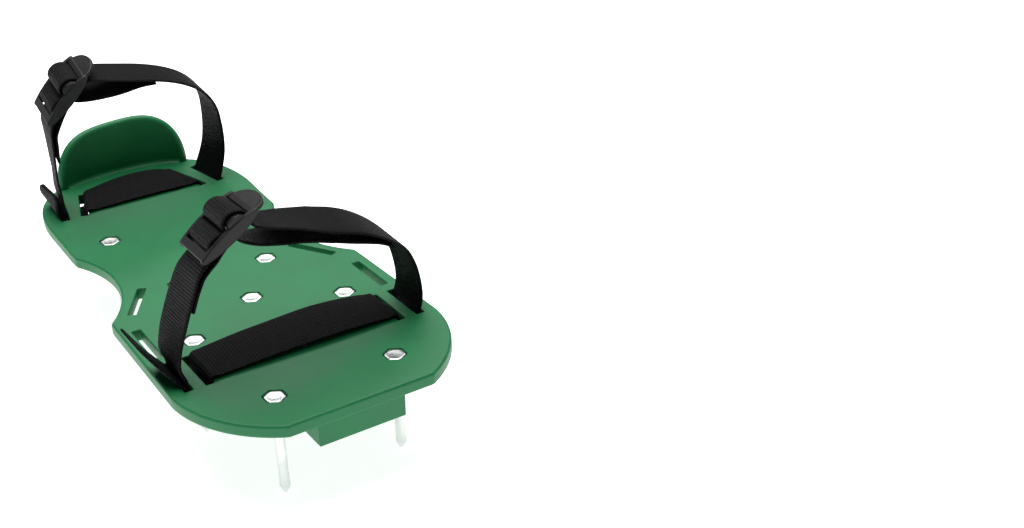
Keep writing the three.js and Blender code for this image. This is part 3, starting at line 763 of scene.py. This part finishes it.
def tape(name, strap, route, start, end, seed, bow=0.0, width=WEB_W, loose=False, tuck=0.0):
    """A length of webbing along route (x, z points), from the station nearest start to that nearest end.
    A loose end is rounded off, and thickens by flap_grow. tuck slides a tail's last stretch towards the heel."""
    round_off, tuck_run = 3.0, 24
    line, s = spline(route, 0.3)
    first = 0 if start is None else int(np.argmin(np.linalg.norm(line - np.array(start), axis=1)))
    last = len(line) - 1 if end is None else int(np.argmin(np.linalg.norm(line - np.array(end), axis=1)))
    run = np.gradient(line, axis=0)
    run /= np.linalg.norm(run, axis=1)[:, None]
    shape = section()
    b = Build()
    rings, uv = [], []
    across = np.array([w for _, w in shape]) * width / WEB_W
    thick = np.array([t for t, _ in shape])
    ribbed = clamp01((width / 2 - 0.9 - np.abs(across)) / 0.8) * np.sign(thick)
    for i in range(first, last + 1):
        rib = RIB_H * (abs(math.sin(math.pi * s[i] / RIB)) - 0.5)
        wobble = 0.10 * math.sin(s[i] / 9.0 + seed) * across / (WEB_W / 2) + 0.06 * math.sin(s[i] / 5.3 + 2 * seed)
        edge = across + 0.07 * np.sin(s[i] * 4.19 + seed) * (np.abs(across) > width / 2 - 0.7)
        t = thick + ribbed * rib + wobble * clamp01(min(i - first, last - i) / 12)
        if loose:
            t = t * (1 + (strap["flap_grow"] - 1) * clamp01((line[i, 1] - 52.5) / 3))
            near_end = 1 - min(s[i] / round_off, 1.0)
            edge = edge * (1 - 0.25 * (1 - math.sqrt(1 - near_end ** 2)))
            t = t * (1 - 0.35 * near_end ** 3)
        x = line[i, 0] - run[i, 1] * t
        z = line[i, 1] + run[i, 0] * t
        in_slot = clamp01((51.5 - line[i, 1]) / 1.5) * clamp01(line[i, 1] - 42)
        px, py, pz = drape(strap, x, edge * (1 + SLOT_GROW * in_slot), z, bow)
        py = py + tuck * clamp01((s[i] - s[last] + tuck_run) / tuck_run)
        if loose:
            px = px - strap["flap_turn"] * clamp01((z - 52) / 8) * edge
            py = py + strap["flap_shift"] * clamp01((z - 51.4) / 19)
        rings.append(b.ring(np.stack([px, py, pz], 1)))
        uv.extend([(s[i] / UV_UNIT, w / UV_UNIT) for w in across])
    b.loft(rings)
    b.fill(rings[0])
    b.fill(rings[-1])
    data = b.mesh(name)
    layer = data.uv_layers.new(name="tape")
    for poly in data.polygons:
        wrap = [uv[data.loops[k].vertex_index] for k in poly.loop_indices]
        for k, value in zip(poly.loop_indices, wrap):
            layer.data[k].uv = value
    obj = piece(name, data, TAPE)
    shade(obj, 60, weighted=False)
    return obj


def buckle_space(strap):
    """Turns a length and a height in the buckle's side view into the sandal's x and z."""
    a = math.radians(strap["angle"])
    x, z = strap["buckle"]
    return lambda s, n: (x + s * math.cos(a) - n * math.sin(a), z + s * math.sin(a) + n * math.cos(a))


def routes(strap):
    """The looped strand, from the foot band to its short end below the buckle, and the adjusting strand, from its
    loose end under the sole and over the foot to its hanging tail."""
    local = buckle_space(strap)
    outer, inner, leg = strap["outer"], strap["inner"], strap["leg"]
    xo, xi = -outer + 0.7, -inner + 0.9
    rise = [(xo, 46.5), (xo, 49), (xo - 0.15, 51.5), (xo - 0.7, 54.5), (xo + (leg[0][0] - xo) * 0.75, 57.5)]
    under = [(xo + 0.1, 44.9), (xo + 1, 43.5), (xo + 2.6, 43.2), (xi - 2.6, 43.2), (xi - 1, 43.5),
             (xi - 0.1, 44.9), (xi, 46.5)]
    band = [(xi, 49.6), (xi + 0.35, 51.2)] + strap["band"]
    band += [(-xi - 0.35, 51.2), (-xi, 49.6), (-xi, 46), (-xi, 41.4)]
    turn = [local(*q) for q in LOOP_TURN]
    loop_strand = band[::-1] + under[::-1] + rise + leg + turn + strap["tail_end"][::-1]
    left, right = -outer - 1, outer + 0.8
    below = [(left + 0.1, 43.4)] + strap["sag"] + [(right - 0.1, 43.4), (right, 47), (outer + 0.9, 50.8)]
    flap = [(left, 47), (left, 50.4)] + strap["flap"]
    over = [local(*q) for q in HUMP]
    adjusting = flap[::-1] + below + strap["crown"][::-1] + [local(*strap["exit"])] + over + strap["tail"]
    return loop_strand, adjusting


def make_strap(strap):
    name = strap["name"]
    loop_strand, adjusting = routes(strap)
    body, swing, lock, end = "sole_body", f"{name}_strap", f"{name}_lock", f"{name}_strap_end"
    outer, yc = strap["outer"], strap["yc"]
    split_loop = (-outer + 0.7, 47.5)
    split_left = (-outer - 1, 47.0)
    split_right = (outer + 0.8, 47.0)
    split_crown = strap["crown"][2]

    band = tape(f"{name}_band_tape", strap, loop_strand, None, split_loop, 1)
    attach(band, body)
    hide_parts(f"{name}_foot_band")

    leg = tape(f"{name}_leg_tape", strap, loop_strand, split_loop, None, 2)
    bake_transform(leg)
    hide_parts(f"{name}_leg")

    below = tape(f"{name}_under_tape", strap, adjusting, split_left, split_right, 3, bow=strap["bow"])
    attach(below, body)
    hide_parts(f"{name}_under_band")

    loose = tape(f"{name}_end_tape", strap, adjusting, None, split_left, 4, width=END_W, loose=True)
    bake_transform(loose)
    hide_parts(f"{name}_flap")

    crown = tape(f"{name}_crown_tape", strap, adjusting, split_right, split_crown, 5)
    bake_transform(crown)
    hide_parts(f"{name}_crown")

    hump = tape(f"{name}_lock_tape", strap, adjusting, split_crown, None, 6, tuck=strap["tuck"])
    local = buckle_space(strap)
    low, high = local(22, -9.5), local(22, -1.5)
    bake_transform(hump)
    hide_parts(f"{name}_hump", f"{name}_tail")


# ---------------------------------------------------------------- buckles
def quad_curve(a, c, b, steps):
    """Points of the curve from a to b with the control point c, without the first."""
    a, c, b = (np.array(v, float) for v in (a, c, b))
    return [tuple(a * (1 - t) ** 2 + 2 * c * t * (1 - t) + b * t * t) for t in np.linspace(0, 1, steps + 1)][1:]


def cushion(loop, half, radius, steps=5):
    """A plate with rounded edges: loop in plan, centred on zero, 2 half thick."""
    b = Build()
    levels = []
    for a in np.linspace(0, math.pi / 2, steps):
        levels.append((radius * (1 - math.sin(a)), -half + radius * (1 - math.cos(a))))
    levels += [(i, -z) for i, z in reversed(levels)]
    rings = [b.ring(at_height(offset(loop, i), z)) for i, z in levels]
    b.loft(rings)
    b.fill(rings[0])
    b.fill(rings[-1])
    return b


def placed(b, strap, rule=tuple):
    """Turns a part's own points into buckle space (length, height, across) and then into the sandal's."""
    local = buckle_space(strap)
    out = []
    for p in b.points:
        s, n, w = rule(p)
        x, z = local(s, n)
        x, y, z = drape(strap, np.array(x), w, np.array(z))
        out.append((float(x), float(y), float(z)))
    b.points = out
    return b


def bars():
    """Side views of the end bar, the loop bar, the bar under the hump and the front bar."""
    return [rounded([(0.15, -1.3), (4.1, -0.9), (4.1, 0.8), (0.15, 0.2)], 0.45, 3),
            circle(Q_BAR[0], Q_BAR[1], Q_BAR_R, 20),
            rounded([(17.7, -1.7), (26.4, -1.7), (26.1, 0.7), (24.8, 2.7), (22.4, 3.8), (19.2, 3.6), (17.9, 2.2)],
                    0.6, 3),
            rounded([(28.2, -3.0), (31.3, -3.0), (31.3, -1.1), (28.2, -0.6)], 0.6, 3)]


def rail_loop():
    """Side view of a rail: over the top from the end bar to the tab, and back below."""
    curves = (((7, 1.7), (16, 1.5), 12), ((26, 1.3), (31.4, -0.9), 14), ((32.5, -2), (31.4, -3), 4),
              ((27.5, -4.3), (24, -4.6), 8), ((19, -5.1), (14, -4.6), 8), ((5, -4.1), (0, -2.1), 10),
              ((-0.7, -1), (0, 0), 4))
    loop = [(0.0, 0.0)]
    for control, to, steps in curves:
        loop += quad_curve(loop[-1], control, to, steps)
    return loop[:-1]


def tab_loop():
    """Plan of the lift tab: a flattened half round on a straight root."""
    loop = [(28.3, -14.4), (29, -14.4)]
    for t in np.linspace(0, math.pi, 32)[1:-1]:
        loop.append((29.2 + 9.2 * math.sin(t) ** 0.8, -13.9 * math.cos(t)))
    return loop + [(29, 14.4), (28.3, 14.4)]


def make_buckle(strap):
    parts = []
    middle = BUCKLE_HALF_W - RAIL_T / 2
    for side in (-1, 1):
        b = cushion(rail_loop(), RAIL_T / 2, 0.55)
        parts.append(placed(b, strap, lambda p, m=side * middle: (p[0], p[1], p[2] + m)))
    for bar in bars():
        parts.append(placed(cushion(bar, BUCKLE_HALF_W - 0.6, 0.3, 3), strap))
    b = cushion(tab_loop(), 0.85, 0.5, 4)
    parts.append(placed(b, strap, lambda p: (p[0], p[2] - 1.9 - 0.34 * max(p[0] - 30, 0), p[1])))
    name = strap["name"]
    obj = united(f"{name}_ladder_lock", [b.mesh(f"{name}_lock_part{i}") for i, b in enumerate(parts)], GREY)
    shade(obj, 34)
    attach(obj, f"{name}_lock")
    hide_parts(f"{name}_buckle")


# ---------------------------------------------------------------- camera, light, floor
def make_camera():
    """Stands where the photo's camera stood towards the sandal on its spikes, with the same field of view."""
    data = bpy.data.cameras.new("camera")
    data.lens = 51.09
    data.sensor_width = 36.0
    camera = bpy.data.objects.new("camera", data)
    bpy.context.scene.collection.objects.link(camera)
    forward = Vector((0.4836, 0.7436, -0.4618)).normalized()
    right = Vector((0.8308, -0.556, -0.0253))
    right = (right - forward * right.dot(forward)).normalized()
    up = right.cross(forward)
    turn = Matrix((right, up, -forward)).transposed().to_4x4()
    camera.matrix_world = Matrix.Translation(Vector((-0.225, -0.619, 0.3821))) @ turn
    bpy.context.scene.camera = camera


def make_floor():
    b = Build()
    b.faces.append(tuple(b.ring([(-6000, -6000, 0), (6000, -6000, 0), (6000, 6000, 0), (-6000, 6000, 0)])))
    m, _, _, bsdf = shader("floor")
    bsdf.inputs["Base Color"].default_value = (0.93, 0.93, 0.93, 1)
    bsdf.inputs["Roughness"].default_value = 0.85
    bsdf.inputs["Specular IOR Level"].default_value = 0.1
    bsdf.inputs["Emission Color"].default_value = (1, 1, 1, 1)
    bsdf.inputs["Emission Strength"].default_value = 0.88
    floor = piece("floor", b.mesh("floor"), m)


def area_light(name, at, target, size, power):
    data = bpy.data.lights.new(name, "AREA")
    data.shape = "DISK"
    data.size = size
    data.energy = power
    lamp = bpy.data.objects.new(name, data)
    bpy.context.scene.collection.objects.link(lamp)
    lamp.location = at
    lamp.rotation_euler = (Vector(target) - Vector(at)).to_track_quat("-Z", "Y").to_euler()


def make_light():
    world = bpy.data.worlds.new("studio")
    bpy.context.scene.world = world
    world.use_nodes = True
    background = world.node_tree.nodes["Background"]
    background.inputs["Color"].default_value = (1, 1, 1, 1)
    background.inputs["Strength"].default_value = 0.07
    area_light("rear", (0.25, 0.6, 1.25), (0, 0, 0.03), 1.5, 21)
    area_light("overhead", (-0.15, -0.1, 1.4), (0, 0, 0.03), 1.0, 8)
    bpy.context.scene.view_settings.view_transform = "Standard"


make_camera()
make_floor()
make_light()
make_sole()
place_spikes()
for one in (FRONT, HEEL):
    make_strap(one)
    make_buckle(one)
